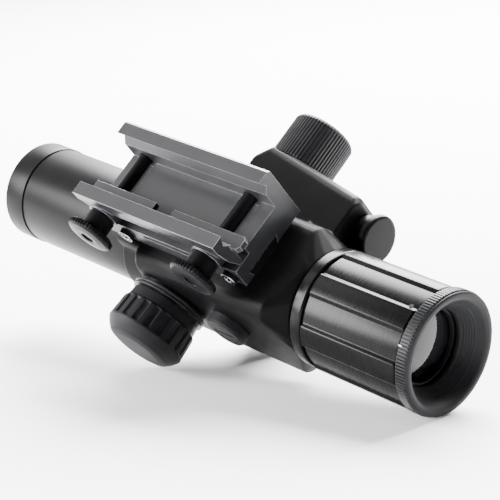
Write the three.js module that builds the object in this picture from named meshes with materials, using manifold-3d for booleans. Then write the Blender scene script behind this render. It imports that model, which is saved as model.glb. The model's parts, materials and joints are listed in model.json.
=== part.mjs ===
// Compact finder scope with a side housing, capped turrets and a rail clamp.
//
// Frame: millimetres, +X towards the objective, +Y to the left, +Z up. The origin is the middle of
// the top of the accessory rail that the clamp grips, under the middle of the clamp. The optical
// axis runs along X at y = AXIS_Y, z = AXIS_Z.

import * as THREE from 'three';
import { mergeVertices } from 'three/addons/utils/BufferGeometryUtils.js';
import Module from 'manifold-3d';

const wasm = await Module();
wasm.setup();

// ---------------------------------------------------------------- driving dimensions

const AXIS_Y = -5;            // optical axis, to the right of the middle of the rail
const AXIS_Z = 37.5;          // optical axis above the rail top
const FRONT_X = 99.5;         // front end of the objective ring
const REAR_X = -105.5;        // rear end of the eyepiece
const GAP = 0.3;              // clearance between pieces that touch on the real scope
const RUN = 0.05;             // radial clearance of a running fit

const CLAMP_HALF = 35.5;      // half length of the clamp along the rail
const JAW_FOOT = -6.1;        // bottom faces of both jaws
const CLAW_Z = -2.7;          // deepest line of each claw's groove
const CLAW_TIP = 9.4;         // claw's bottom edge from the middle of the rail, when clamped
const CLAW_ROOT = 11;         // deepest line of the groove from the middle of the rail
const CLAW_TOP = 8.9;         // where the groove meets the channel wall
const JAW_TRAVEL = 3;         // movable jaw, from open to clamped
const CHANNEL_Z = 6.5;        // floor of the clamp channel
const SLOT_TOP = 10.4;        // roof of the two cross slots in the floor
const SLOT_HALF = 4.6;        // half length of a cross slot
const SHELF_Z = 9.3;          // underside of the shelf above the movable jaw
const BASE_TOP = 17.5;        // joint between the clamp base and the body
const BASE_LEFT = 15.2;
const BASE_RIGHT = -16.5;
const BASE_WALL = -8.7;       // wall that the movable jaw closes against

const BOLT_X = [28.1, -24.6]; // cross bolts, front and rear
const BOLT_Z = 5.5;
const BOLT_R = 2.4;
const BOLT_HEAD_R = 4;
const NUT_R = 8.8;
const NUT_NECK_R = 5.2;
const NUT_END = -27;          // outer faces of the thumb nuts
const SADDLE_SCREW_X = [22, -30];
const SADDLE_SCREW_Z = 14.2;

// From here on, y and z are measured from the optical axis.
const TUBE_R = 18.3;
const TUBE_BORE = 16.3;
const COLLAR_R = 19.7;        // front collar of the body, around the tube
const COLLAR_X = 30.5;
const RING_X = 89.5;          // rear end of the objective ring
const RING_R = 18.6;

const BODY_HALF = 19.5;       // body flanks
const BODY_BOTTOM = -19.7;
const BODY_TOP = 22;
const BODY_FRONT = 18;
const BODY_REAR = -45.5;      // rear edge of the flanks, where the body starts to close in
const NECK_REAR = -53;
const NECK_R = 19.2;
const NECK_FLARE_R = 24.5;
const NECK_FLARE_X = -35.3;
const BODY_BORE = 14;

const HOUSING_FRONT = 4.5;
const HOUSING_REAR = -47.5;
const HOUSING_HALF = 13;      // half height of the side housing
const HOUSING_OUT = [44.7, 36.6]; // outer wall, front and rear

const TURRET_X = -5.3;        // windage and elevation turrets
const CAP_R = 12;
const WINDAGE_BASE = 42.6;    // inner and outer ends of the windage cap
const WINDAGE_END = 60.5;
const ELEVATION_BASE = 24.4;
const ELEVATION_END = 38.4;
const KNOB_X = 8.6;
const KNOB_R = 15;
const KNOB_END = -41.8;
const PLUG_X = -21;
const PLUG_R = 7.8;
const PLUG_END = -23.6;
const TAIL_Y = 28.3;          // battery chamber in the side housing
const TAIL_R = 8.6;
const TAIL_END = -54.8;
const CELL_R = 5.8;
const CELL_LENGTH = 5.4;
const CELLS = 3;

const EYE_R = 21;             // eyepiece barrel
const BARREL_FRONT = -53.3;
const FLUTES = 7;
const FLUTE_WIDTH = 30;       // degrees
const FLUTE_ANGLE = 20.5;     // first flute, from straight down towards the left
const FLUTE_FRONT = -59.3;
const KNURL_FRONT = -100.4;   // diopter ring
const KNURL_REAR = -105;
const OCULAR_REAR = -95.8;    // rear end of the ocular cell, just inside the bell

// ---------------------------------------------------------------- materials

function finish(color, roughness, metalness) {
  return new THREE.MeshStandardMaterial({ color, roughness, metalness });
}

const anodised = finish(0x222426, 0.45, 0.7);
const cast = finish(0x2b2d2f, 0.5, 0.6);
const clampFinish = finish(0x4a4c4e, 0.4, 0.7);
const blackSteel = finish(0x1d1e20, 0.35, 0.9);
const brightSteel = finish(0xb4b6b8, 0.3, 1.0);
const brass = finish(0xb08d4a, 0.35, 1.0);
const glass = finish(0x9fb4c4, 0.05, 0.0);
const blackPlastic = finish(0x161617, 0.6, 0.0);

// ---------------------------------------------------------------- solids

// A closed, outward-facing solid from any three.js geometry.
function solid(geometry) {
  const bare = geometry.clone();
  bare.deleteAttribute('normal');
  bare.deleteAttribute('uv');
  const merged = mergeVertices(bare, 1e-4);
  const vertProperties = new Float32Array(merged.attributes.position.array);
  const triangles = [];
  const index = merged.index.array;
  for (let i = 0; i < index.length; i += 3) {
    const [a, b, c] = [index[i], index[i + 1], index[i + 2]];
    if (a !== b && b !== c && c !== a) triangles.push(a, b, c);
  }
  if (signedVolume(vertProperties, triangles) < 0) triangles.reverse();
  return new wasm.Manifold(
    new wasm.Mesh({ numProp: 3, vertProperties, triVerts: new Uint32Array(triangles) }),
  );
}

function signedVolume(positions, triangles) {
  const corner = (i) => new THREE.Vector3().fromArray(positions, 3 * i);
  let sum = 0;
  for (let i = 0; i < triangles.length; i += 3) {
    sum += corner(triangles[i]).dot(corner(triangles[i + 1]).cross(corner(triangles[i + 2])));
  }
  return sum;
}

// A closed profile of [radius, height] points turned about +Y, then laid along the named axis.
function spun(profile, axis, segments = 48) {
  const points = profile.map(([radius, height]) => new THREE.Vector2(radius, height));
  const geometry = new THREE.LatheGeometry(points, segments);
  if (axis === 'x') geometry.rotateZ(-Math.PI / 2);
  if (axis === 'z') geometry.rotateX(Math.PI / 2);
  return solid(geometry);
}

// A solid disc or shaft between two stations.
function rod(radius, from, to, axis, segments = 48) {
  return spun([[0, from], [radius, from], [radius, to], [0, to]], axis, segments);
}

// A ring of rectangular section.
function ring(outer, inner, from, to, axis, segments = 48) {
  const profile = [[inner, from], [outer, from], [outer, to], [inner, to], [inner, from]];
  return spun(profile, axis, segments);
}

// A lens with two bulged faces: thickness at the edge, and how far each face bulges.
function lens(radius, at, edge, bulge) {
  const steps = 3;
  const face = (side) => Array.from({ length: steps + 1 }, (_, i) => {
    const r = (radius * i) / steps;
    return [r, at + side * (edge / 2 + bulge * (1 - (i / steps) ** 2))];
  });
  return spun([...face(-1), ...face(1).reverse()], 'x', 32);
}

// Helical wire spring along the named axis, from one station to the other.
function coilSpring(coilR, wireR, from, to, turns, axis) {
  const steps = turns * 10;
  const points = Array.from({ length: steps + 1 }, (_, i) => {
    const angle = (2 * Math.PI * turns * i) / steps;
    return new THREE.Vector3(
      coilR * Math.cos(angle), from + ((to - from) * i) / steps, coilR * Math.sin(angle),
    );
  });
  const sides = 4;
  const curve = new THREE.CatmullRomCurve3(points);
  const geometry = new THREE.TubeGeometry(curve, steps, wireR, sides, false);
  const position = geometry.attributes.position;
  const ends = [0, steps].map((station) => {
    const centre = new THREE.Vector3();
    for (let i = 0; i < sides; i += 1) {
      centre.add(new THREE.Vector3().fromBufferAttribute(position, station * (sides + 1) + i));
    }
    return centre.divideScalar(sides);
  });
  const coords = [...position.array, ...ends[0].toArray(), ...ends[1].toArray()];
  const index = [...geometry.index.array];
  const [startHub, endHub] = [position.count, position.count + 1];
  for (let i = 0; i < sides; i += 1) {
    const last = steps * (sides + 1) + i;
    index.push(startHub, i, i + 1, endHub, last + 1, last);
  }
  const closed = new THREE.BufferGeometry();
  closed.setAttribute('position', new THREE.BufferAttribute(new Float32Array(coords), 3));
  closed.setIndex(index);
  if (axis === 'x') closed.rotateZ(-Math.PI / 2);
  if (axis === 'z') closed.rotateX(Math.PI / 2);
  return solid(closed);
}

// A [y, z] outline pulled along X.
function pulledAlongX(outline, from, to) {
  return lofted([[from, outline], [to, outline]]);
}

// Plain [y, z] outlines with equal point counts, skinned from station to station.
function lofted(stations) {
  const flat = stations[0][1].map(([y, z]) => new THREE.Vector2(y, z));
  const clockwise = THREE.ShapeUtils.isClockWise(flat);
  const sections = stations.map(([x, outline]) => [x, clockwise ? [...outline].reverse() : outline]);
  const count = flat.length;
  const coords = sections.flatMap(([x, outline]) => outline.flatMap(([y, z]) => [x, y, z]));
  const index = [];
  for (let s = 0; s + 1 < sections.length; s += 1) {
    for (let i = 0; i < count; i += 1) {
      const j = (i + 1) % count;
      const [a, b] = [s * count + i, s * count + j];
      index.push(a, b, a + count, b, b + count, a + count);
    }
  }
  const last = (sections.length - 1) * count;
  const cap = (outline) => THREE.ShapeUtils.triangulateShape(
    outline.map(([y, z]) => new THREE.Vector2(y, z)), [],
  );
  for (const [a, b, c] of cap(sections[0][1])) index.push(c, b, a);
  for (const [a, b, c] of cap(sections[sections.length - 1][1])) {
    index.push(last + a, last + b, last + c);
  }
  const geometry = new THREE.BufferGeometry();
  geometry.setAttribute('position', new THREE.BufferAttribute(new Float32Array(coords), 3));
  geometry.setIndex(index);
  return solid(geometry);
}

// An [x, y] outline pulled along Z.
function pulledAlongZ(outline, from, to) {
  const shape = new THREE.Shape(outline.map(([x, y]) => new THREE.Vector2(x, y)));
  const geometry = new THREE.ExtrudeGeometry(shape, { depth: to - from, bevelEnabled: false });
  geometry.translate(0, 0, from);
  return solid(geometry);
}

function block(low, high) {
  const size = high.map((value, i) => value - low[i]);
  const geometry = new THREE.BoxGeometry(...size);
  geometry.translate(...high.map((value, i) => (value + low[i]) / 2));
  return solid(geometry);
}

function moved(body, x, y, z) {
  return body.translate([x, y, z]);
}

// Moves a solid built about the optical axis to its place over the rail.
function onAxis(body) {
  return moved(body, 0, AXIS_Y, AXIS_Z);
}

function joined(...bodies) {
  return bodies.reduce((sum, body) => sum.add(body));
}

function cut(body, ...cutters) {
  return cutters.reduce((rest, cutter) => rest.subtract(cutter), body);
}

// Cuts the same cutter out of a turned piece at even steps about the axis.
function grooved(body, cutter, count, axis) {
  const step = 360 / count;
  const turn = (angle) => ['x', 'y', 'z'].map((name) => (name === axis ? angle : 0));
  return cut(body, ...Array.from({ length: count }, (_, i) => cutter.rotate(turn(step * i))));
}

function mesh(name, body, material) {
  const { numProp, vertProperties, triVerts } = body.getMesh();
  const positions = new Float32Array((vertProperties.length / numProp) * 3);
  for (let i = 0; i < positions.length / 3; i += 1) {
    positions.set(vertProperties.subarray(i * numProp, i * numProp + 3), i * 3);
  }
  const geometry = new THREE.BufferGeometry();
  geometry.setAttribute('position', new THREE.BufferAttribute(positions, 3));
  geometry.setIndex(new THREE.BufferAttribute(new Uint32Array(triVerts), 1));
  geometry.computeVertexNormals();
  const result = new THREE.Mesh(geometry, material);
  result.name = name;
  return result;
}

// ---------------------------------------------------------------- body

// A box outline with rounded corners, corner by corner; with box sides at the corner radius it is
// a circle with the same number of points.
function roundedOutline(left, right, bottom, top, corner, steps = 6) {
  const centres = [
    [left - corner, bottom + corner, -90], [left - corner, top - corner, 0],
    [right + corner, top - corner, 90], [right + corner, bottom + corner, 180],
  ];
  return centres.flatMap(([y, z, start]) => Array.from({ length: steps + 1 }, (_, i) => {
    const angle = THREE.MathUtils.degToRad(start + (90 * i) / steps);
    const reach = corner + 1e-3;
    return [y + reach * Math.cos(angle), z + reach * Math.sin(angle)];
  }));
}

function bodyBlock() {
  const section = roundedOutline(BODY_HALF, -BODY_HALF, BODY_BOTTOM, BODY_TOP, 6);
  const inset = roundedOutline(BODY_HALF - 1.5, 1.5 - BODY_HALF, BODY_BOTTOM, BODY_TOP - 1.5, 5);
  const circle = roundedOutline(NECK_R, -NECK_R, -NECK_R, NECK_R, NECK_R - 0.5);
  return lofted([
    [NECK_REAR, circle], [BODY_REAR, section], [BODY_FRONT - 1.5, section], [BODY_FRONT, inset],
  ]);
}

// Conical neck on the housing side, where the body flares out of the eyepiece seat.
function neckFlare() {
  const cone = spun(
    [[0, NECK_REAR], [NECK_R, NECK_REAR], [NECK_FLARE_R, NECK_FLARE_X], [0, NECK_FLARE_X]], 'x', 64,
  );
  return cone.intersect(block([-60, -BODY_HALF, BODY_BOTTOM], [0, 30, 14]));
}

// Side housing: its outer wall closes in towards the rear, and its edges are bevelled.
function sideHousing() {
  const section = (out) => roundedOutline(out, 2, -HOUSING_HALF, HOUSING_HALF, 4, 3);
  const [front, rear] = HOUSING_OUT;
  return lofted([
    [HOUSING_REAR, section(rear - 2.5)], [HOUSING_REAR + 2, section(rear)],
    [HOUSING_FRONT - 4.5, section(front)], [HOUSING_FRONT, section(front - 5)],
  ]);
}

// Dovetail foot that the clamp base grips, under the body.
function dovetail(clearance) {
  const [narrow, wide, depth] = [6.2 + clearance, 7.7 + clearance, 2.8 + clearance];
  const outline = [
    [-narrow, BODY_BOTTOM + 0.5], [-wide, BODY_BOTTOM - depth],
    [wide, BODY_BOTTOM - depth], [narrow, BODY_BOTTOM + 0.5],
  ];
  return pulledAlongX(outline, -CLAMP_HALF - clearance, COLLAR_X - 1 + clearance);
}

function mainBody() {
  const collar = spun([
    [0, 0], [COLLAR_R, 0], [COLLAR_R, COLLAR_X - 0.8], [COLLAR_R - 0.8, COLLAR_X], [0, COLLAR_X],
  ], 'x', 64);
  const saddle = lofted([
    [BODY_FRONT - 4, roundedOutline(14, -14.5, BODY_BOTTOM, 0, 2, 2)],
    [COLLAR_X, roundedOutline(13, -13.5, BODY_BOTTOM, 0, 2, 2)],
  ]);
  const shell = joined(
    bodyBlock(), neckFlare(), collar, saddle, dovetail(0), sideHousing(),
    moved(rod(10.6, 20, WINDAGE_BASE - GAP, 'y'), TURRET_X, 0, 0),
    moved(rod(12.4, 0, ELEVATION_BASE - GAP, 'z'), TURRET_X, 0, 0),
    moved(rod(13.2, -20.6, 0, 'y'), KNOB_X, 0, 0),
  );
  return onAxis(cut(
    shell,
    rod(TUBE_R + RUN, 4, COLLAR_X + 1, 'x', 64),
    rod(BODY_BORE, -60, COLLAR_X + 1, 'x', 64),
    moved(rod(CAP_R + 0.3, WINDAGE_BASE - GAP, 60, 'y', 48), TURRET_X, 0, 0),
    moved(rod(8, 16, 70, 'y', 32), TURRET_X, 0, 0),
    moved(rod(1.6 + GAP, 8, 20, 'y', 16), TURRET_X, 0, 0),
    moved(rod(8, 16, 60, 'z', 32), TURRET_X, 0, 0),
    moved(rod(1.6 + GAP, 8, 20, 'z', 16), TURRET_X, 0, 0),
    moved(rod(4, -40, -10, 'y', 24), KNOB_X, 0, 0),
    moved(rod(5.2, -40, -10, 'y', 24), PLUG_X, 0, 0),
    moved(rod(CELL_R + 0.8, -70, -20, 'x', 32), 0, TAIL_Y, 0),
    moved(rod(TAIL_R + 0.6, -70, HOUSING_REAR, 'x', 32), 0, TAIL_Y, 0),
  ));
}

// ---------------------------------------------------------------- rail clamp

// Base with the fixed jaw on its left side, a channel over the rail and a shelf on the right.
function mountBase() {
  const body = pulledAlongX([
    [CLAW_TIP, JAW_FOOT], [BASE_LEFT - 1, JAW_FOOT], [BASE_LEFT, JAW_FOOT + 1],
    [BASE_LEFT, BASE_TOP], [BASE_RIGHT, BASE_TOP], [BASE_RIGHT, SHELF_Z], [BASE_WALL, SHELF_Z],
    [BASE_WALL, CHANNEL_Z], [CLAW_TOP, CHANNEL_Z], [CLAW_TOP, 0], [CLAW_ROOT, CLAW_Z],
  ], -CLAMP_HALF, CLAMP_HALF);
  const slots = BOLT_X.map((x) => block(
    [x - SLOT_HALF, BASE_WALL - 1, CHANNEL_Z - 1], [x + SLOT_HALF, CLAW_TOP, SLOT_TOP],
  ));
  const boltHoles = BOLT_X.flatMap((x) => [
    moved(rod(BOLT_R + GAP, 0, 20, 'y', 24), x, 0, BOLT_Z),
    moved(rod(BOLT_HEAD_R + GAP, 12, 20, 'y', 24), x, 0, BOLT_Z),
  ]);
  const screwHoles = SADDLE_SCREW_X.flatMap((x) => [
    moved(rod(1.6 + GAP, -20, -12, 'y', 20), x, 0, SADDLE_SCREW_Z),
    moved(rod(2.9 + GAP, -20, -15.4, 'y', 20), x, 0, SADDLE_SCREW_Z),
  ]);
  const sideGroove = block([-11, BASE_RIGHT - 1, 10.6], [12, BASE_RIGHT + 1.4, 12.2]);
  return cut(
    body, ...slots, ...boltHoles, ...screwHoles, sideGroove, onAxis(dovetail(GAP)),
  );
}

// Movable jaw, shown open: the claw, the lip that rests on the rail and the sloping back.
function clampJaw() {
  const y = (closed) => -(closed + JAW_TRAVEL);
  const body = pulledAlongX([
    [y(CLAW_TIP), JAW_FOOT], [y(CLAW_ROOT), CLAW_Z], [y(CLAW_TOP), 0], [y(4.4), 0], [y(4.4), 2.2],
    [y(9.1), 2.2], [y(9.1), SHELF_Z - GAP], [y(10.6), SHELF_Z - GAP], [y(13), 4], [y(14.4), -2.6],
    [y(14.4), JAW_FOOT],
  ], -CLAMP_HALF, CLAMP_HALF);
  const notch = block([-4.6, y(8.6), -1], [4.6, y(4), 3]);
  const tab = pulledAlongZ([
    [-CLAMP_HALF + 1, y(9.6)], [-CLAMP_HALF + 1, y(4.4)], [-CLAMP_HALF - 3, y(4.4)],
    [-CLAMP_HALF - 3.8, y(5.4)], [-CLAMP_HALF - 3.8, y(8.2)], [-CLAMP_HALF - 2.6, y(9.6)],
  ], 0, 2.2);
  const bosses = BOLT_X.map((x) => moved(rod(NUT_NECK_R + 0.6, y(14.4), y(10), 'y', 32), x, 0, BOLT_Z)
    .intersect(block([-CLAMP_HALF, -30, JAW_FOOT], [CLAMP_HALF, 0, SHELF_Z - GAP])));
  const holes = BOLT_X.map((x) => moved(rod(BOLT_R + GAP, -30, 0, 'y', 24), x, 0, BOLT_Z));
  return cut(joined(body, tab, ...bosses), notch, ...holes);
}

function crossBolt(x) {
  const profile = [
    [0, NUT_END + 0.8], [BOLT_R, NUT_END + 0.8], [BOLT_R, 12 + GAP], [BOLT_HEAD_R, 12 + GAP],
    [BOLT_HEAD_R, BASE_LEFT - 0.4], [0, BASE_LEFT - 0.4],
  ];
  return moved(spun(profile, 'y', 24), x, 0, BOLT_Z);
}

// Thumb nut: a knurled disc on a neck that bears on the movable jaw.
function thumbNut(x) {
  const bore = BOLT_R + RUN;
  const seat = -(14.4 + JAW_TRAVEL) - GAP;
  const body = spun([
    [bore, NUT_END], [NUT_R - 1.2, NUT_END], [NUT_R, NUT_END + 0.8], [NUT_R, NUT_END + 2.6],
    [NUT_R - 0.8, NUT_END + 3.2], [NUT_NECK_R, NUT_END + 3.8], [NUT_NECK_R, seat], [bore, seat],
    [bore, NUT_END],
  ], 'y', 48);
  const notch = block([-0.4, NUT_END - 1, NUT_R - 0.5], [0.4, NUT_END + 3.4, NUT_R + 1]);
  return moved(grooved(body, notch, 16, 'y'), x, 0, BOLT_Z);
}

function saddleScrew(x) {
  const head = spun([
    [0, -13.1], [1.6, -13.1], [1.6, -15.7], [2.9, -15.7], [2.9, -18.3], [0, -18.3],
  ], 'y', 20);
  const socket = rod(1.5, -20, -17, 'y', 6);
  return moved(cut(head, socket), x, 0, SADDLE_SCREW_Z);
}

// ---------------------------------------------------------------- objective end

function objectiveTube() {
  return onAxis(spun([
    [TUBE_BORE, 4 + GAP], [TUBE_R, 4 + GAP], [TUBE_R, RING_X - GAP], [TUBE_BORE + 1, RING_X - GAP],
    [TUBE_BORE + 1, FRONT_X - 3.4], [TUBE_BORE, FRONT_X - 3.4], [TUBE_BORE, 4 + GAP],
  ], 'x', 64));
}

function objectiveRing() {
  const inner = TUBE_BORE + 1 + RUN;
  return onAxis(spun([
    [inner, RING_X], [RING_R, RING_X], [RING_R, FRONT_X - 1], [RING_R - 0.8, FRONT_X],
    [15.4, FRONT_X], [15.2, FRONT_X - 0.4], [15.2, FRONT_X - 3], [inner, FRONT_X - 3],
    [inner, RING_X],
  ], 'x', 64));
}

function objectiveCell() {
  return onAxis(ring(TUBE_BORE - RUN, 15, 82, 92, 'x', 48));
}

function objectiveRetainer() {
  return onAxis(grooved(
    ring(TUBE_BORE - RUN, 13.8, 92 + GAP, 94.6, 'x', 48),
    block([93, -0.8, 13], [95, 0.8, 15.4]), 2, 'x',
  ));
}

// ---------------------------------------------------------------- erector group

const PIVOT_X = -48;
const ERECTOR_R = 9.4;

function gimbalRing() {
  const body = ring(13, 10.6, PIVOT_X - 2, PIVOT_X + 2, 'x', 40);
  return onAxis(body);
}

function erectorSeat() {
  return onAxis(ring(BODY_BORE - RUN, 11.8, PIVOT_X - 4.8, PIVOT_X - 2 - GAP, 'x', 40));
}

function erectorTube() {
  return onAxis(ring(ERECTOR_R, 7.6, PIVOT_X - 2, 6, 'x', 40));
}

// Dial, screw and foot that push the erector tube sideways, under a screw-on cap.
function turretDial(base) {
  return spun([
    [0, 10.6], [1.6, 10.6], [1.6, base - 5], [7.4, base - 5], [7.4, base + 0.6], [9.6, base + 0.6],
    [9.6, base + 6], [8.8, base + 7], [0, base + 7],
  ], 'y', 40);
}

function turretCap(base, end) {
  const body = spun([
    [10.8, base], [CAP_R, base], [CAP_R, end - 2.4], [CAP_R - 0.8, end - 0.8], [CAP_R - 2.4, end],
    [0, end], [0, end - 2], [10.8, end - 2], [10.8, base],
  ], 'y', 48);
  const rib = block([CAP_R - 0.6, base + 1.6, -0.4], [CAP_R + 1, end - 3, 0.4]);
  return grooved(body, rib, 18, 'y');
}

// Turns a turret piece built along +Y up to +Z.
function upright(body) {
  return body.rotate([90, 0, 0]);
}

function atTurret(body) {
  return onAxis(moved(body, TURRET_X, 0, 0));
}

// ---------------------------------------------------------------- lamp switch, plug, battery

function rheostatKnob() {
  const base = -23.2;
  const body = spun([
    [0, KNOB_END], [9.8, KNOB_END], [12, KNOB_END + 0.8], [13.4, KNOB_END + 2.4],
    [KNOB_R, -37], [KNOB_R, -27.6], [14.2, -26.6], [14.2, base], [0, base],
  ], 'y', 64);
  const rib = block([KNOB_R - 0.9, -37.2, -0.9], [KNOB_R + 1, -27.4, 0.9]);
  const shaftHole = rod(2.5 + GAP, base - 6, base + 1, 'y', 20);
  return onAxis(moved(cut(grooved(body, rib, 16, 'y'), shaftHole), KNOB_X, 0, 0));
}

function knobSeat() {
  return onAxis(moved(ring(14.6, 3, -22.9, -20.9, 'y', 48), KNOB_X, 0, 0));
}

function switchShaft() {
  return onAxis(moved(rod(2.5, -28.6, -18.8, 'y', 20), KNOB_X, 0, 0));
}

function sidePlug() {
  const profile = [
    [0, PLUG_END], [PLUG_R - 0.8, PLUG_END], [PLUG_R, PLUG_END + 0.8], [PLUG_R, -19.8], [5, -19.8], [5, -14.6],
    [0, -14.6],
  ];
  const coinSlot = block([-5, PLUG_END - 1, -0.7], [5, PLUG_END + 1, 0.7]);
  return onAxis(moved(cut(spun(profile, 'y', 40), coinSlot), PLUG_X, 0, 0));
}

function tailCap() {
  const face = HOUSING_REAR - GAP;
  const profile = [
    [0, TAIL_END], [TAIL_R - 1, TAIL_END], [TAIL_R, TAIL_END + 0.8], [TAIL_R, TAIL_END + 3],
    [7.2, TAIL_END + 3.6], [7.2, face], [CELL_R + 0.7, face], [CELL_R + 0.7, face + 3], [0, face + 3],
  ];
  return onAxis(moved(spun(profile, 'x', 40), 0, TAIL_Y, 0));
}

function batteryCell(i) {
  const from = -26.8 - (i + 1) * (CELL_LENGTH + GAP);
  const to = from + CELL_LENGTH;
  const profile = [
    [0, from], [CELL_R - 1.2, from], [CELL_R - 1.2, from + 0.6], [CELL_R, from + 0.6],
    [CELL_R, to], [0, to],
  ];
  return onAxis(moved(spun(profile, 'x', 24), 0, TAIL_Y, 0));
}

function contactSpring() {
  return onAxis(moved(coilSpring(3.6, 0.4, -26.2, -20.9, 3, 'x'), 0, TAIL_Y, 0));
}

// ---------------------------------------------------------------- eyepiece

function lockRing() {
  return onAxis(spun([
    [14.4, BARREL_FRONT], [19.3, BARREL_FRONT], [20.6, BARREL_FRONT - 2.4],
    [20.6, FLUTE_FRONT + 0.4], [14.4, FLUTE_FRONT + 0.4], [14.4, BARREL_FRONT],
  ], 'x', 64));
}

// Sector of a cylinder shell, centred on straight down, for cutting a flute.
function fluteCutter() {
  const half = THREE.MathUtils.degToRad(FLUTE_WIDTH / 2);
  const steps = 6;
  const arc = (radius, spread) => Array.from({ length: steps + 1 }, (_, i) => {
    const angle = (spread * (2 * i - steps)) / steps;
    return [radius * Math.sin(angle), -radius * Math.cos(angle)];
  });
  const outline = [...arc(EYE_R - 0.9, half - 0.045), ...arc(EYE_R + 1, half + 0.05).reverse()];
  return pulledAlongX(outline, KNURL_FRONT - 1, FLUTE_FRONT + 1);
}

function eyepieceBarrel() {
  const body = spun([
    [18.2, FLUTE_FRONT], [EYE_R - 0.4, FLUTE_FRONT], [EYE_R, FLUTE_FRONT - 0.6],
    [EYE_R, KNURL_FRONT + GAP], [18.2, KNURL_FRONT + GAP], [18.2, FLUTE_FRONT],
  ], 'x', 72);
  const fluted = grooved(body, fluteCutter().rotate([FLUTE_ANGLE, 0, 0]), FLUTES, 'x');
  return onAxis(fluted);
}

function diopterRing() {
  const body = spun([
    [18, KNURL_REAR], [20.8, KNURL_REAR], [21.3, KNURL_REAR + 0.5], [21.3, KNURL_FRONT - 0.5],
    [20.8, KNURL_FRONT], [18, KNURL_FRONT], [18, KNURL_REAR],
  ], 'x', 72);
  const notch = block([KNURL_REAR + 0.4, -0.45, 20.8], [KNURL_FRONT - 0.4, 0.45, 22]);
  return onAxis(grooved(body, notch, 30, 'x'));
}

// Rear bell: the rim seen from behind, tapering in to the ocular lens.
function eyeBell() {
  return onAxis(spun([
    [17.6, REAR_X], [17.9, REAR_X + 0.3], [17.9, OCULAR_REAR - 0.8], [13.2, OCULAR_REAR - 0.8],
    [13.2, OCULAR_REAR - 2], [13.8, OCULAR_REAR - 2.4], [16.4, REAR_X + 0.6], [17, REAR_X],
    [17.6, REAR_X],
  ], 'x', 64));
}

function innerSleeve() {
  return onAxis(spun([
    [15.2, OCULAR_REAR + 0.6], [17.9, OCULAR_REAR + 0.6], [17.9, FLUTE_FRONT + 0.2 - GAP],
    [14.2, FLUTE_FRONT + 0.2 - GAP], [14.2, OCULAR_REAR + 23.2], [15.2, OCULAR_REAR + 22.4],
    [15.2, OCULAR_REAR + 0.6],
  ], 'x', 48));
}

function ocularCell() {
  return onAxis(spun([
    [12.6, OCULAR_REAR], [13.1, OCULAR_REAR], [13.1, OCULAR_REAR + 1.4], [15.1, OCULAR_REAR + 1.8],
    [15.1, OCULAR_REAR + 21.2], [12.6, OCULAR_REAR + 21.2], [12.6, OCULAR_REAR],
  ], 'x', 48));
}

// ---------------------------------------------------------------- assembly

const lensAt = (radius, x, edge, bulge) => onAxis(lens(radius, x, edge, bulge));

const PIECES = [
  ['main_body', mainBody(), cast],
  ['mount_base', mountBase(), clampFinish],
  ['clamp_jaw', clampJaw(), clampFinish],
  ['cross_bolt_front', crossBolt(BOLT_X[0]), blackSteel],
  ['cross_bolt_rear', crossBolt(BOLT_X[1]), blackSteel],
  ['thumb_nut_front', thumbNut(BOLT_X[0]), blackSteel],
  ['thumb_nut_rear', thumbNut(BOLT_X[1]), blackSteel],
  ['saddle_screw_front', saddleScrew(SADDLE_SCREW_X[0]), blackSteel],
  ['saddle_screw_rear', saddleScrew(SADDLE_SCREW_X[1]), blackSteel],
  ['objective_tube', objectiveTube(), anodised],
  ['objective_ring', objectiveRing(), anodised],
  ['objective_cell', objectiveCell(), anodised],
  ['objective_lens', lensAt(14.7, 88, 3, 1.6), glass],
  ['objective_flint', lensAt(14.7, 83.6, 1.6, 0.3), glass],
  ['objective_retainer', objectiveRetainer(), anodised],
  ['gimbal_ring', gimbalRing(), brass],
  ['erector_seat', erectorSeat(), anodised],
  ['erector_tube', erectorTube(), anodised],
  ['erector_lens_front', lensAt(7.3, -8, 2, 1), glass],
  ['erector_lens_rear', lensAt(7.3, -34, 2, 1), glass],
  ['reticle', onAxis(rod(7.3, 2, 3.4, 'x', 32)), glass],
  ['windage_dial', atTurret(turretDial(WINDAGE_BASE)), blackSteel],
  ['windage_cap', atTurret(turretCap(WINDAGE_BASE, WINDAGE_END)), anodised],
  ['elevation_dial', atTurret(upright(turretDial(ELEVATION_BASE))), blackSteel],
  ['elevation_cap', atTurret(upright(turretCap(ELEVATION_BASE, ELEVATION_END))), anodised],
  ['knob_seat', knobSeat(), anodised],
  ['switch_shaft', switchShaft(), brass],
  ['rheostat_knob', rheostatKnob(), blackPlastic],
  ['side_plug', sidePlug(), blackPlastic],
  ['tail_cap', tailCap(), anodised],
  ['contact_spring', contactSpring(), brightSteel],
  ...Array.from({ length: CELLS }, (_, i) => [`battery_cell_${i + 1}`, batteryCell(i), brightSteel]),
  ['lock_ring', lockRing(), anodised],
  ['eyepiece_barrel', eyepieceBarrel(), anodised],
  ['inner_sleeve', innerSleeve(), anodised],
  ['diopter_ring', diopterRing(), anodised],
  ['eye_bell', eyeBell(), blackPlastic],
  ['ocular_cell', ocularCell(), anodised],
  ['ocular_lens', lensAt(12.3, OCULAR_REAR + 2.6, 3, 1.4), glass],
  ['field_lens', lensAt(12.3, OCULAR_REAR + 17.2, 2.4, 1.2), glass],
];

const scope = new THREE.Group();
for (const [name, body, material] of PIECES) scope.add(mesh(name, body, material));

export default scope;
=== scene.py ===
"""Finder scope lying on a pale table, seen from below its rail clamp.

Turned pieces are built from profiles. The casting, the clamp and the screws are softened or bevelled
copies of the CAD shapes, and what is hidden inside is shown as the CAD has it.
"""

import json
import math

import bmesh
import bpy
from mathutils import Matrix, Vector


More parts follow.
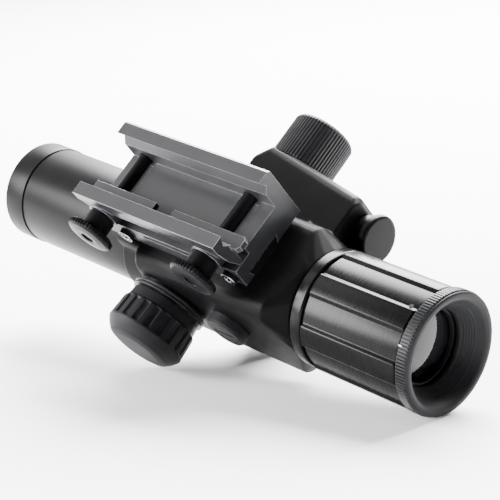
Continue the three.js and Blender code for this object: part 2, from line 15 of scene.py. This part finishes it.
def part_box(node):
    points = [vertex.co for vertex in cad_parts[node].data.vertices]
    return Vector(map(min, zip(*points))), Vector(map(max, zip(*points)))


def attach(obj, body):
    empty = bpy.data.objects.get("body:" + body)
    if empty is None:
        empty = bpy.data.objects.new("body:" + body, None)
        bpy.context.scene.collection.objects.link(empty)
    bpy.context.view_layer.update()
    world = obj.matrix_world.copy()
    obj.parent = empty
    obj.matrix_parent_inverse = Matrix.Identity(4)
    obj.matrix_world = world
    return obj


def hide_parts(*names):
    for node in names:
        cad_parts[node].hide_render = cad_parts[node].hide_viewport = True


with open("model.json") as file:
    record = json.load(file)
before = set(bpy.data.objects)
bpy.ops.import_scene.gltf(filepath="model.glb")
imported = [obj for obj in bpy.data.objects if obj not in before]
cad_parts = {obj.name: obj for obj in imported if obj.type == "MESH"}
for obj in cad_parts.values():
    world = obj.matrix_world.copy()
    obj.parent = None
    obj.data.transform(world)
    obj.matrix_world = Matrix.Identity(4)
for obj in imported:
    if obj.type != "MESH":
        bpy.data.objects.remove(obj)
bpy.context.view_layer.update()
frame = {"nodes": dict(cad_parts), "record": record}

MM = 0.001
RING_LOW, RING_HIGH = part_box("objective_ring")
AXIS = Vector((0, (RING_LOW.y + RING_HIGH.y) / 2, (RING_LOW.z + RING_HIGH.z) / 2))


def middle(node):
    """The middle of the CAD node's box, from the optical axis."""
    low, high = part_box(node)
    return (low + high) / 2 - AXIS


def ends(node, axis):
    """Where the CAD node starts and ends along that axis, in mm from the optical axis."""
    low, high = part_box(node)
    i = "xyz".index(axis)
    return (low[i] - AXIS[i]) / MM, (high[i] - AXIS[i]) / MM


# ---------------------------------------------------------------- camera, table and light

# The photographer's camera, from the vanishing lines and the ellipse of the eyepiece.
CAMERA_AIM = Vector((-10.84, 2.05, 34.76)) * MM
CAMERA_DISTANCE = 0.6537
CAMERA_AZIMUTH = -158.56      # of the camera seen from the aim point, from +X towards +Y
CAMERA_ELEVATION = -44.55
CAMERA_ROLL = -140.83
CAMERA_LENS = 135.4

KNOB_RIM = 12.2 * MM          # radii of the two rims that stand on the table
TURRET_RIM = 11 * MM
TABLE_GUESS = Vector((0.1, 0.6, -0.7))    # roughly upwards from the table
TABLE_ROUNDS = 12             # of settling the scope on the table
TABLE_CLEARANCE = 0.2 * MM
TABLE_SIZE = 6

ROOM_COLOUR = (0.03, 0.03, 0.032, 1)
BACKDROP_COLOUR = (1, 1, 1, 1)
SKY_STRENGTH = 3.5


def camera_axes():
    """The camera's right, up and backward directions."""
    azimuth, elevation, roll = map(math.radians, (CAMERA_AZIMUTH, CAMERA_ELEVATION, CAMERA_ROLL))
    back = Vector((
        math.cos(elevation) * math.cos(azimuth),
        math.cos(elevation) * math.sin(azimuth),
        math.sin(elevation),
    ))
    level = Vector((0, 0, 1)).cross(back).normalized()
    over = back.cross(level)
    up = level * math.sin(roll) + over * math.cos(roll)
    return up.cross(back), up, back


def add_camera():
    """The scene's camera, at the photograph's viewing angle."""
    right, up, back = camera_axes()
    data = bpy.data.cameras.new("camera")
    data.lens = CAMERA_LENS
    data.sensor_width = 36
    data.clip_start = 0.01
    data.clip_end = 20
    camera = bpy.data.objects.new("camera", data)
    bpy.context.collection.objects.link(camera)
    turn = Matrix((right, up, back)).transposed().to_4x4()
    camera.matrix_world = Matrix.Translation(CAMERA_AIM + back * CAMERA_DISTANCE) @ turn
    bpy.context.scene.camera = camera


def lowest_point(centre, axis, radius, up):
    """The point of a round rim that is furthest down."""
    across = up - axis * up.dot(axis)
    return centre - across.normalized() * radius


def table_plane():
    """A point and the normal of the table that the eyepiece, the ribbed knob and the top turret touch."""
    eye, knob, turret = (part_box(node) for node in ("diopter_ring", "rheostat_knob", "elevation_cap"))
    rims = [
        (Vector((eye[0].x, AXIS.y, AXIS.z)), Vector((1, 0, 0)), (eye[1].y - eye[0].y) / 2),
        (Vector(((knob[0].x + knob[1].x) / 2, knob[0].y, AXIS.z)), Vector((0, 1, 0)), KNOB_RIM),
        (Vector(((turret[0].x + turret[1].x) / 2, AXIS.y, turret[1].z)), Vector((0, 0, 1)), TURRET_RIM),
    ]
    up = TABLE_GUESS.normalized()
    for _ in range(TABLE_ROUNDS):
        a, b, c = (lowest_point(*rim, up) for rim in rims)
        normal = (b - a).cross(c - a).normalized()
        up = normal if normal.dot(up) > 0 else -normal
    return a, up


def add_table(material):
    """The pale floor under the scope."""
    point, up = table_plane()
    bpy.ops.mesh.primitive_plane_add(size=TABLE_SIZE)
    table = bpy.context.object
    table.name = "table"
    tilt = up.to_track_quat("Z", "Y").to_matrix().to_4x4()
    table.matrix_world = Matrix.Translation(point - up * TABLE_CLEARANCE) @ tilt
    table.data.materials.append(material)


def add_softbox(name, toward, distance, size, power):
    """An area light in that direction from the scope, in the camera's right, up, back axes."""
    right, up, back = camera_axes()
    direction = (right * toward[0] + up * toward[1] + back * toward[2]).normalized()
    data = bpy.data.lights.new(name, "AREA")
    data.shape = "RECTANGLE"
    data.size, data.size_y = size
    data.energy = power
    light = bpy.data.objects.new(name, data)
    bpy.context.collection.objects.link(light)
    light.location = CAMERA_AIM + direction * distance
    light.rotation_mode = "QUATERNION"
    light.rotation_quaternion = direction.to_track_quat("Z", "Y")


def add_lights():
    """A box at the left for the tube, a weak one above it, and a large one at the back for the table."""
    add_softbox("left_box", (-1.0, 0.28, 0.12), 1.0, (0.5, 0.4), 42)
    add_softbox("over_box", (-0.66, 0.75, 0.0), 1.1, (0.35, 0.35), 2.5)
    add_softbox("top_back_box", (0.3, 0.85, -0.45), 1.3, (1.5, 1.1), 260)


def add_sky():
    """A white backdrop behind the scope and a dim room everywhere else."""
    world = bpy.data.worlds.new("studio")
    bpy.context.scene.world = world
    world.use_nodes = True
    nodes, links = world.node_tree.nodes, world.node_tree.links
    background = nodes["Background"]
    coords = nodes.new("ShaderNodeTexCoord")
    away = nodes.new("ShaderNodeVectorMath")
    away.operation = "DOT_PRODUCT"
    away.inputs[1].default_value = -camera_axes()[2]
    links.new(coords.outputs["Generated"], away.inputs[0])
    ramp = nodes.new("ShaderNodeValToRGB")
    stops = ramp.color_ramp.elements
    stops[0].position, stops[0].color = 0.25, ROOM_COLOUR
    stops[1].position, stops[1].color = 0.6, BACKDROP_COLOUR
    links.new(away.outputs["Value"], ramp.inputs["Fac"])
    links.new(ramp.outputs["Color"], background.inputs["Color"])
    background.inputs["Strength"].default_value = SKY_STRENGTH


# ---------------------------------------------------------------- materials

NOISE_LOW, NOISE_HIGH = 0.3, 0.7    # the part of a noise's range that tone and gloss are spread over
BLUE_TINT = 1.12                    # blue over red and green in the blacks and greys


class Paint:
    """Collects nodes for one Principled material."""

    def __init__(self, name):
        self.material = bpy.data.materials.new(name)
        self.material.use_nodes = True
        self.nodes = self.material.node_tree.nodes
        self.links = self.material.node_tree.links
        self.shader = self.nodes["Principled BSDF"]
        self.coords = self.nodes.new("ShaderNodeTexCoord").outputs["Object"]

    def noise(self, scale, detail=3.0, stretch=(1, 1, 1)):
        """A noise in the piece's own space."""
        mapping = self.nodes.new("ShaderNodeMapping")
        mapping.inputs["Scale"].default_value = stretch
        self.links.new(self.coords, mapping.inputs["Vector"])
        noise = self.nodes.new("ShaderNodeTexNoise")
        noise.inputs["Scale"].default_value = scale
        noise.inputs["Detail"].default_value = detail
        self.links.new(mapping.outputs["Vector"], noise.inputs["Vector"])
        return noise.outputs["Fac"]

    def colour(self, value, dark, light):
        """The base colour runs from dark to light with the noise."""
        ramp = self.nodes.new("ShaderNodeValToRGB")
        stops = ramp.color_ramp.elements
        stops[0].position, stops[0].color = NOISE_LOW, (*dark, 1)
        stops[1].position, stops[1].color = NOISE_HIGH, (*light, 1)
        self.links.new(value, ramp.inputs["Fac"])
        self.links.new(ramp.outputs["Color"], self.shader.inputs["Base Color"])

    def roughness(self, value, low, high):
        """The roughness runs from low to high with the noise."""
        ramp = self.nodes.new("ShaderNodeMapRange")
        ramp.inputs["From Min"].default_value = NOISE_LOW
        ramp.inputs["From Max"].default_value = NOISE_HIGH
        ramp.inputs["To Min"].default_value = low
        ramp.inputs["To Max"].default_value = high
        self.links.new(value, ramp.inputs["Value"])
        self.links.new(ramp.outputs["Result"], self.shader.inputs["Roughness"])

    def bump(self, value, depth):
        """The noise as a fine relief, depth in metres."""
        bump = self.nodes.new("ShaderNodeBump")
        bump.inputs["Strength"].default_value = 0.6
        bump.inputs["Distance"].default_value = depth
        self.links.new(value, bump.inputs["Height"])
        self.links.new(bump.outputs["Normal"], self.shader.inputs["Normal"])

    def set(self, **values):
        """Plain values on the shader's own sockets; gives the material."""
        for name, value in values.items():
            self.shader.inputs[name.replace("_", " ")].default_value = value
        return self.material


def grey(level):
    """A neutral tone with a trace of blue."""
    return (level, level, level * BLUE_TINT)


def dimmed(colour, share):
    """The colour times that share."""
    return tuple(share * part for part in colour)


def dark_finish(name, level, rough, grain=900.0, depth=0.00002, ior=1.45, gloss=0.35):
    """A grey coating: fine grain in the surface, and a little unevenness in tone and gloss."""
    paint = Paint(name)
    patches = paint.noise(60.0)
    paint.colour(patches, grey(level * 0.8), grey(level * 1.25))
    paint.roughness(patches, rough - 0.05, rough + 0.06)
    paint.bump(paint.noise(grain, 2.0), depth)
    return paint.set(IOR=ior, Specular_IOR_Level=gloss)


def lathe_finish(name, level, rough, gloss):
    """Black turned metal: faint tool rings round the optical axis, over the grain."""
    paint = Paint(name)
    patches = paint.noise(50.0)
    paint.colour(patches, grey(level * 0.85), grey(level * 1.2))
    paint.roughness(paint.noise(2500.0, 2.0, (1, 0.02, 0.02)), rough - 0.02, rough + 0.03)
    paint.bump(paint.noise(1500.0, 2.0), 0.000003)
    return paint.set(IOR=1.5, Specular_IOR_Level=gloss)


def metal_finish(name, colour, rough):
    """Bare metal with uneven polish."""
    paint = Paint(name)
    patches = paint.noise(120.0)
    paint.colour(patches, dimmed(colour, 0.85), colour)
    paint.roughness(patches, rough - 0.06, rough + 0.08)
    return paint.set(Metallic=1.0)


def glass_finish(name, tint, clear, index):
    """Coated lens glass: clear and tinted."""
    paint = Paint(name)
    paint.colour(paint.noise(30.0), dimmed(tint, 0.96), tint)
    paint.roughness(paint.noise(200.0), 0.0, 0.01)
    return paint.set(Transmission_Weight=clear, IOR=index)


def table_finish():
    """White paper from above, and clear from below, so that it hides nothing from under the table."""
    paint = Paint("table_paper")
    paint.colour(paint.noise(9.0), (0.86, 0.86, 0.865), (0.88, 0.88, 0.88))
    material = paint.set(Roughness=0.9)
    nodes, links = paint.nodes, paint.links
    geometry = nodes.new("ShaderNodeNewGeometry")
    clear = nodes.new("ShaderNodeBsdfTransparent")
    mix = nodes.new("ShaderNodeMixShader")
    links.new(geometry.outputs["Backfacing"], mix.inputs["Fac"])
    links.new(paint.shader.outputs["BSDF"], mix.inputs[1])
    links.new(clear.outputs["BSDF"], mix.inputs[2])
    links.new(mix.outputs["Shader"], nodes["Material Output"].inputs["Surface"])
    return material


TUBE = lathe_finish("tube_anodised", 0.003, 0.36, 0.06)
BARREL = lathe_finish("barrel_anodised", 0.002, 0.26, 0.08)
KNURLED = dark_finish("knurled_anodised", 0.009, 0.4, depth=0.000004, gloss=0.22)
CAST = dark_finish("cast_body", 0.0025, 0.46, grain=800.0, depth=0.000012, gloss=0.05)
CLAMP = dark_finish("clamp_coating", 0.014, 0.36, grain=1000.0, depth=0.00001, gloss=0.3)
# Light grey for the clamp's bevelled edges: partly wear on bare edges, partly a painted highlight that stays
# bright under any lamp.
EDGE_WEAR_AND_HIGHLIGHT = dark_finish("edge_wear_and_highlight", 0.22, 0.35)
DARK_STEEL = dark_finish("dark_steel", 0.005, 0.36, gloss=0.06)
PLASTIC = dark_finish("black_plastic", 0.008, 0.5, grain=1300.0, depth=0.00001, gloss=0.12)
FLAT_BLACK = dark_finish("flat_black", 0.003, 0.6, ior=1.4)
WHITE_MARK = dark_finish("white_mark", 0.6, 0.5)
BRIGHT_STEEL = metal_finish("bright_steel", (0.6, 0.6, 0.61), 0.3)
BRASS = metal_finish("brass", (0.72, 0.52, 0.25), 0.32)
EYE_GLASS = glass_finish("eye_glass", (0.05, 0.05, 0.07), 1.0, 1.36)
FRONT_GLASS = glass_finish("front_glass", (0.16, 0.2, 0.19), 0.97, 1.45)
TABLE = table_finish()

# ---------------------------------------------------------------- showing a piece

BODY_OF = {node: body for body, nodes in frame["record"]["behaviour"]["bodies"].items() for node in nodes}
SLOT_OF = {entry["node"]: entry["material_slot"] for entry in frame["record"]["subparts"]}


def painted(piece, *finishes):
    """Gives the piece its finish; a second one is for bevelled edges."""
    piece.data.materials.clear()
    for finish in finishes:
        piece.data.materials.append(finish)


def show(piece, node, *finishes):
    """The piece rides where the CAD node does, takes its finishes, and is shown in its place."""
    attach(piece, BODY_OF[node])
    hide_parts(node)
    painted(piece, *finishes)


# ---------------------------------------------------------------- turned pieces

# A profile is a list of points in mm: the radius, the height along the piece's axis and, where the
# piece is ribbed or knurled, how much of the wave is cut in there.

CORNER_STEPS = 4
SHARP_ANGLE = 32              # degrees, above which an edge is not shaded smooth
ON_AXIS = 1e-6                # mm


def rounded(profile, corner, closed):
    """The profile with each corner turned into a small arc."""
    points = [Vector((*point, 0)) if len(point) == 2 else Vector(point) for point in profile]
    count = len(points)
    result = []
    for i, point in enumerate(points):
        if not closed and i in (0, count - 1):
            result.append(point)
            continue
        before, after = points[i - 1] - point, points[(i + 1) % count] - point
        reach = min(corner, before.length * 0.45, after.length * 0.45)
        start = point + before.normalized() * reach
        end = point + after.normalized() * reach
        for step in range(CORNER_STEPS + 1):
            t = step / CORNER_STEPS
            result.append(start.lerp(point, t).lerp(point.lerp(end, t), t))
    return result


def around(axis, radius, height, angle):
    """A point of a turned piece; on X pieces the angle runs from straight down towards the left."""
    a, b = radius * math.sin(angle), radius * math.cos(angle)
    return Vector({"x": (height, a, -b), "y": (a, height, b), "z": (a, b, height)}[axis])


def finished(name, mesh):
    """The bmesh as a linked object, smooth except across real edges."""
    bmesh.ops.recalc_face_normals(mesh, faces=mesh.faces)
    data = bpy.data.meshes.new(name)
    mesh.to_mesh(data)
    mesh.free()
    data.shade_smooth()
    data.set_sharp_from_angle(angle=math.radians(SHARP_ANGLE))
    piece = bpy.data.objects.new(name, data)
    bpy.context.collection.objects.link(piece)
    return piece


def turned(name, profile, axis, x=0.0, corner=0.25, segments=160, wave=None):
    """A turned piece about an axis through the optical axis, at station x for Y and Z pieces.

    A profile that starts off the axis is a closed ring.
    """
    closed = profile[0][0] > ON_AXIS
    station = Vector((x, 0, 0))
    mesh = bmesh.new()
    rings = []
    for radius, height, share in rounded(profile, corner, closed):
        ring = []
        for i in range(1 if radius < ON_AXIS else segments):
            angle = 2 * math.pi * i / segments
            cut = share * wave(angle) if wave else 0.0
            point = around(axis, radius - cut, height, angle) + station
            ring.append(mesh.verts.new(point * MM + AXIS))
        rings.append(ring)
    following = rings[1:] + rings[:1] if closed else rings[1:]
    for low, high in zip(rings, following):
        for i in range(segments):
            j = (i + 1) % segments
            corners = [low[i % len(low)], low[j % len(low)], high[j % len(high)], high[i % len(high)]]
            distinct = list(dict.fromkeys(corners))
            if len(distinct) > 2:
                mesh.faces.new(distinct)
    return finished(name, mesh)


def knurl(count, depth):
    """Sharp straight knurling."""
    return lambda angle: depth * abs(2 * ((count * angle / (2 * math.pi)) % 1.0) - 1)


def ramped(value):
    """From 0 to 1, easing in and out."""
    value = min(max(value, 0.0), 1.0)
    return value * value * (3 - 2 * value)


def channels(count, first, width, depth, wall):
    """Flat-floored channels: angles in degrees, wall is how many degrees a side takes to climb."""
    def cut(angle):
        offset = (math.degrees(angle) - first + 180 / count) % (360 / count) - 180 / count
        return depth * ramped((width / 2 + wall / 2 - abs(offset)) / wall)
    return cut


def ring_threads(start, end, count, depth):
    """Fine rings down a bore, from the start to the end of its wall."""
    points = []
    for i in range(2 * count + 1):
        t = i / (2 * count)
        radius = start[0] + (end[0] - start[0]) * t - depth * (i % 2)
        points.append((radius, start[1] + (end[1] - start[1]) * t))
    return points


def lens_profile(radius, rear, front, bulge, steps=14):
    """Half section of a lens, its two bulged faces reaching to the rear and front stations."""
    def face(edge, side):
        return [
            (radius * i / steps, edge + side * bulge * (1 - (i / steps) ** 2)) for i in range(steps + 1)
        ]
    return face(rear + bulge, -1) + face(front - bulge, 1)[::-1]


def build_lens(node, radius, bulge, finish):
    """A lens of an end group."""
    profile = lens_profile(radius, *ends(node, "x"), bulge)
    show(turned(f"{node}_ground", profile, "x", corner=0.1), node, finish)


# ---------------------------------------------------------------- copies of CAD shapes


def copied(node, suffix):
    """A new piece with the CAD node's shape, to be given soft or bevelled edges."""
    source = frame["nodes"][node]
    piece = bpy.data.objects.new(f"{node}_{suffix}", source.data.copy())
    bpy.context.collection.objects.link(piece)
    piece.matrix_world = source.matrix_world.copy()
    return piece


def cast_copy(node, voxel, rounds):
    """Soft-edged casting: the CAD shape remeshed finely, then smoothed."""
    piece = copied(node, "casting")
    remesh = piece.modifiers.new("skin", "REMESH")
    remesh.mode = "VOXEL"
    remesh.voxel_size = voxel * MM
    remesh.use_smooth_shade = True
    smooth = piece.modifiers.new("soften", "SMOOTH")
    smooth.factor = 0.5
    smooth.iterations = rounds
    return piece


def machined_copy(node, width):
    """Crisp machined piece: the CAD shape with a fine bevel that catches the light."""
    piece = copied(node, "machined")
    weld = piece.modifiers.new("weld", "WELD")
    weld.merge_threshold = 0.01 * MM
    clean = piece.modifiers.new("clean", "DECIMATE")
    clean.decimate_type = "DISSOLVE"
    clean.angle_limit = math.radians(2)
    bevel = piece.modifiers.new("bevel", "BEVEL")
    bevel.width = width * MM
    bevel.segments = 3
    bevel.limit_method = "ANGLE"
    bevel.angle_limit = math.radians(25)
    # The bevel takes the piece's second finish; on the clamp that is a light grey, partly edge wear and
    # partly painted highlight.
    bevel.material = 1
    piece.modifiers.new("flats", "WEIGHTED_NORMAL").weight = 80
    piece.data.shade_smooth()
    return piece


# ---------------------------------------------------------------- body and clamp

CAST_VOXEL = 0.4
CAST_SMOOTHING = 4
CLAMP_BEVEL = 0.3
SCREW_BEVEL = 0.2

NUT_RADIUS = 8.8
NUT_NECK = 5.0
NUT_BORE = 2.45               # open, because the bolt comes through it as the jaw closes
NUT_LENGTH = 9.2
NUT_TEETH = 44


def build_body():
    """The casting that everything else is fixed to."""
    show(cast_copy("main_body", CAST_VOXEL, CAST_SMOOTHING), "main_body", CAST)


def build_clamp():
    """Fixed and movable halves of the rail clamp; their bevelled edges are light grey, partly as wear and
    partly as painted highlight.
    """
    for node in ("mount_base", "clamp_jaw"):
        show(machined_copy(node, CLAMP_BEVEL), node, CLAMP, EDGE_WEAR_AND_HIGHLIGHT)


def build_thumb_nut(node):
    """Knurled disc with a slightly domed face, on a smooth neck."""
    spot = middle(node)
    face, _ = ends(node, "y")
    profile = [
        (NUT_BORE, face + 0.2),
        (4.5, face + 0.1),
        (7.7, face + 0.5),
        (NUT_RADIUS, face + 1.3, 1),
        (NUT_RADIUS, face + 2.8, 1),
        (8.1, face + 3.3),
        (5.6, face + 3.6),
        (NUT_NECK, face + 4.2),
        (NUT_NECK, face + NUT_LENGTH),
        (NUT_BORE, face + NUT_LENGTH),
    ]
    teeth = knurl(NUT_TEETH, 0.35)
    piece = turned(f"{node}_turned", profile, "y", corner=0.3, segments=NUT_TEETH * 6, wave=teeth)
    piece.data.transform(Matrix.Translation((spot.x, 0, spot.z)))
    show(piece, node, DARK_STEEL)


def build_clamp_screws():
    """The nuts and bolts that close the jaw, and the screws that hold the clamp to the body."""
    places = ("front", "rear")
    for place in places:
        build_thumb_nut(f"thumb_nut_{place}")
    for place in places:
        bolt, screw = f"cross_bolt_{place}", f"saddle_screw_{place}"
        show(machined_copy(bolt, SCREW_BEVEL), bolt, DARK_STEEL, DARK_STEEL)
        show(machined_copy(screw, SCREW_BEVEL), screw, DARK_STEEL, BRIGHT_STEEL)


# ---------------------------------------------------------------- tube and objective

TUBE_RADIUS = 18.3
TUBE_BORE = 16.3
SPIGOT_RADIUS = 17.3          # the end of the tube inside the objective ring
RING_RADIUS = 18.6
RING_BORE = 17.35
RING_LIP = 15.2               # the ring's narrowest bore, in front of the tube
RING_GAP = 0.3                # between the tube's shoulder and the ring


def build_objective():
    """The front tube, its screwed-on ring with a threaded mouth, and the front lens."""
    tube_rear, tube_front = ends("objective_tube", "x")
    ring_rear, ring_front = ends("objective_ring", "x")
    tube = [
        (TUBE_BORE, tube_rear),
        (TUBE_RADIUS, tube_rear),
        (TUBE_RADIUS, ring_rear - RING_GAP),
        (SPIGOT_RADIUS, ring_rear - RING_GAP),
        (SPIGOT_RADIUS, tube_front),
        (TUBE_BORE, tube_front),
    ]
    show(turned("objective_tube_turned", tube, "x"), "objective_tube", TUBE)
    ring = [
        (RING_BORE, ring_rear),
        (RING_RADIUS, ring_rear),
        (RING_RADIUS, ring_front),
        (16.2, ring_front),
        *ring_threads((15.4, ring_front - 0.9), (RING_LIP, ring_front - 2.9), 3, 0.2),
        (RING_LIP, ring_front - 3.0),
        (RING_BORE, ring_front - 3.0),
    ]
    show(turned("objective_ring_turned", ring, "x", corner=0.35), "objective_ring", TUBE)
    build_lens("objective_lens", 14.7, 1.6, FRONT_GLASS)


# ---------------------------------------------------------------- turrets, knob, plug, battery cap

CAP_RADIUS = 12.0
CAP_BORE = 10.8
CAP_ROOF = 2.2                # thickness
CAP_TEETH = 60
KNOB_RADIUS = 15.0
KNOB_RIBS = 20


def build_turret_cap(node, axis):
    """Knurled hollow cap with a rounded outer edge."""
    base, end = ends(node, axis)
    profile = [
        (0, end),
        (CAP_RADIUS - 2.4, end),
        (CAP_RADIUS - 0.8, end - 0.5),
        (CAP_RADIUS - 0.15, end - 1.6, 1),
        (CAP_RADIUS, base + 0.8, 1),
        (CAP_RADIUS - 0.2, base, 1),
        (CAP_BORE, base, 0),
        (CAP_BORE, end - CAP_ROOF, 0),
        (0, end - CAP_ROOF, 0),
    ]
    x = middle(node).x / MM
    teeth = knurl(CAP_TEETH, 0.26)
    show(turned(f"{node}_knurled", profile, axis, x=x, segments=CAP_TEETH * 6, wave=teeth), node, KNURLED)


def build_knob():
    """Lamp dimmer: a flared neck, broad ribs and a chamfered dome."""
    face, _ = ends("rheostat_knob", "y")
    profile = [
        (0, face),
        (9.0, face + 0.2),
        (11.6, face + 0.9),
        (13.6, face + 2.8),
        (KNOB_RADIUS, face + 4.9),
        (KNOB_RADIUS, face + 5.6, 0),
        (KNOB_RADIUS - 0.1, face + 6.2, 1),
        (KNOB_RADIUS - 0.5, face + 13.4, 1),
        (KNOB_RADIUS - 0.7, face + 14.0, 0),
        (13.7, face + 14.4),
        (13.3, face + 18.4),
        (0, face + 18.4),
    ]
    x = middle("rheostat_knob").x / MM
    ribs = channels(KNOB_RIBS, 0, 8.5, 0.75, 3.0)
    knob = turned("rheostat_knob_moulded", profile, "y", x=x, corner=0.5, segments=KNOB_RIBS * 20, wave=ribs)
    show(knob, "rheostat_knob", PLASTIC)


def build_knob_seat():
    """The thin double ring between the knob and the body."""
    outer, inner = ends("knob_seat", "y")
    profile = [
        (3.0, inner),
        (14.5, inner),
        (14.5, inner - 0.8),
        (13.9, inner - 1.0),
        (14.3, inner - 1.3),
        (14.3, outer),
        (3.0, outer),
    ]
    x = middle("knob_seat").x / MM
    show(turned("knob_seat_turned", profile, "y", x=x, corner=0.15), "knob_seat", KNURLED)


def build_plug():
    """Moulded plug behind the knob."""
    plug = copied("side_plug", "moulded")
    bevel = plug.modifiers.new("bevel", "BEVEL")
    bevel.width = 0.5 * MM
    bevel.segments = 4
    bevel.limit_method = "ANGLE"
    plug.data.shade_smooth()
    show(plug, "side_plug", PLASTIC)


def build_tail_cap():
    """Stepped cap of the battery chamber."""
    rear, _ = ends("tail_cap", "x")
    profile = [
        (0, rear),
        (7.6, rear),
        (8.4, rear + 0.4),
        (8.6, rear + 1.0),
        (8.6, rear + 2.8),
        (8.0, rear + 3.3),
        (7.2, rear + 3.8),
        (7.2, rear + 7.0),
        (6.5, rear + 7.0),
        (6.5, rear + 10.3),
        (0, rear + 10.3),
    ]
    piece = turned("tail_cap_turned", profile, "x", corner=0.3)
    piece.data.transform(Matrix.Translation((0, middle("tail_cap").y, 0)))
    show(piece, "tail_cap", TUBE)


# ---------------------------------------------------------------- eyepiece

EYE_RADIUS = 21.0
SLEEVE_RADIUS = 18.2          # bore of the fluted barrel
COLLAR_BORE = 14.4
KNURL_RADIUS = 21.2           # diopter ring
KNURL_BORE = 18.0
KNURL_RIBS = 120
BELL_RADIUS = 17.8            # the part of the bell inside the diopter ring
BELL_MOUTH = 13.2             # the bell's bore in front of its threads


def build_lock_ring():
    """Flared collar between the body and the eyepiece."""
    rear, front = ends("lock_ring", "x")
    profile = [
        (COLLAR_BORE, front),
        (19.0, front),
        (20.5, front - 1.1),
        (20.7, rear + 0.5),
        (20.4, rear),
        (COLLAR_BORE, rear),
    ]
    show(turned("lock_ring_turned", profile, "x", corner=0.3), "lock_ring", BARREL)


def build_barrel():
    """Eyepiece barrel with seven broad flutes."""
    rear, front = ends("eyepiece_barrel", "x")
    profile = [
        (SLEEVE_RADIUS, front),
        (EYE_RADIUS - 0.4, front, 0.9),
        (EYE_RADIUS, front - 0.5, 1),
        (EYE_RADIUS, rear + 0.4, 1),
        (EYE_RADIUS - 0.3, rear, 1),
        (SLEEVE_RADIUS, rear),
    ]
    flutes = channels(7, 20.5, 29, 0.95, 4.5)
    piece = turned("eyepiece_barrel_fluted", profile, "x", corner=0.2, segments=840, wave=flutes)
    show(piece, "eyepiece_barrel", BARREL)


def build_diopter_ring():
    """Finely ribbed ring behind the barrel."""
    node_rear, front = ends("diopter_ring", "x")
    rear = node_rear + 0.4
    profile = [
        (KNURL_BORE, rear),
        (KNURL_RADIUS - 0.5, rear),
        (KNURL_RADIUS, rear + 0.4, 1),
        (KNURL_RADIUS, front - 0.5, 1),
        (KNURL_RADIUS - 0.5, front),
        (KNURL_BORE, front),
    ]
    ribs = channels(KNURL_RIBS, 0, 1.1, 0.5, 0.7)
    segments = KNURL_RIBS * 10
    piece = turned("diopter_ring_knurled", profile, "x", corner=0.15, segments=segments, wave=ribs)
    show(piece, "diopter_ring", KNURLED)


def build_eye_bell():
    """Rear rim of the eyepiece and the threaded funnel that leads in to the ocular lens."""
    rear, front = ends("eye_bell", "x")
    profile = [
        (BELL_RADIUS, front),
        (BELL_RADIUS, rear + 0.8),
        (20.8, rear + 0.8),
        (20.9, rear + 0.4),
        (20.2, rear),
        (19.0, rear),
        (18.0, rear + 0.6),
        *ring_threads((16.4, rear + 3.1), (14.0, front - 2.2), 5, 0.16),
        (BELL_MOUTH, front - 1.3),
        (BELL_MOUTH, front),
    ]
    show(turned("eye_bell_turned", profile, "x", corner=0.4, segments=200), "eye_bell", PLASTIC)


def add_mark(name, node, angle, station, radius, size, finish):
    """A small mark on an X piece; the size is along the optical axis and round it."""
    mesh = bmesh.new()
    bmesh.ops.create_cone(mesh, cap_ends=True, segments=24, radius1=MM, radius2=0.9 * MM, depth=0.3 * MM)
    bmesh.ops.scale(mesh, vec=(*size, 1), verts=mesh.verts)
    mark = finished(name, mesh)
    outward = around("x", 1, 0, math.radians(angle))
    across = Vector((1, 0, 0)).cross(outward)
    turn = Matrix((-outward.cross(across), across, outward)).transposed().to_4x4()
    spot = AXIS + around("x", radius, station, math.radians(angle)) * MM
    mark.matrix_world = Matrix.Translation(spot) @ turn
    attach(mark, BODY_OF[node])
    painted(mark, finish)


def build_eyepiece():
    """The eyepiece from its collar to its lens, with a dark dot and a white line to set it by."""
    build_lock_ring()
    build_barrel()
    build_diopter_ring()
    build_eye_bell()
    build_lens("ocular_lens", 12.3, 1.4, EYE_GLASS)
    add_mark("index_dot", "eyepiece_barrel", 8, -97.5, 20.7, (0.8, 0.8), FLAT_BLACK)
    add_mark("index_line", "diopter_ring", -28, -101.2, 21.25, (0.9, 0.25), WHITE_MARK)


# ---------------------------------------------------------------- carried-over CAD pieces

INNER_FINISHES = {
    "anodised_black": FLAT_BLACK,
    "coated_glass": EYE_GLASS,
    "brass": BRASS,
    "bright_steel": BRIGHT_STEEL,
    "dark_steel": DARK_STEEL,
    "black_plastic": PLASTIC,
    "cast_black": CAST,
    "clamp_black": CLAMP,
}


def paint_cad_nodes():
    """A finish for each CAD node, for those that stay visible as they are."""
    for node, solid in frame["nodes"].items():
        for slot in solid.material_slots:
            slot.material = INNER_FINISHES[SLOT_OF[node]]


# ---------------------------------------------------------------- the scene

add_camera()
add_table(TABLE)
add_sky()
add_lights()

paint_cad_nodes()
build_body()
build_clamp()
build_clamp_screws()
build_objective()
build_turret_cap("windage_cap", "y")
build_turret_cap("elevation_cap", "z")
build_knob()
build_knob_seat()
build_plug()
build_tail_cap()
build_eyepiece()
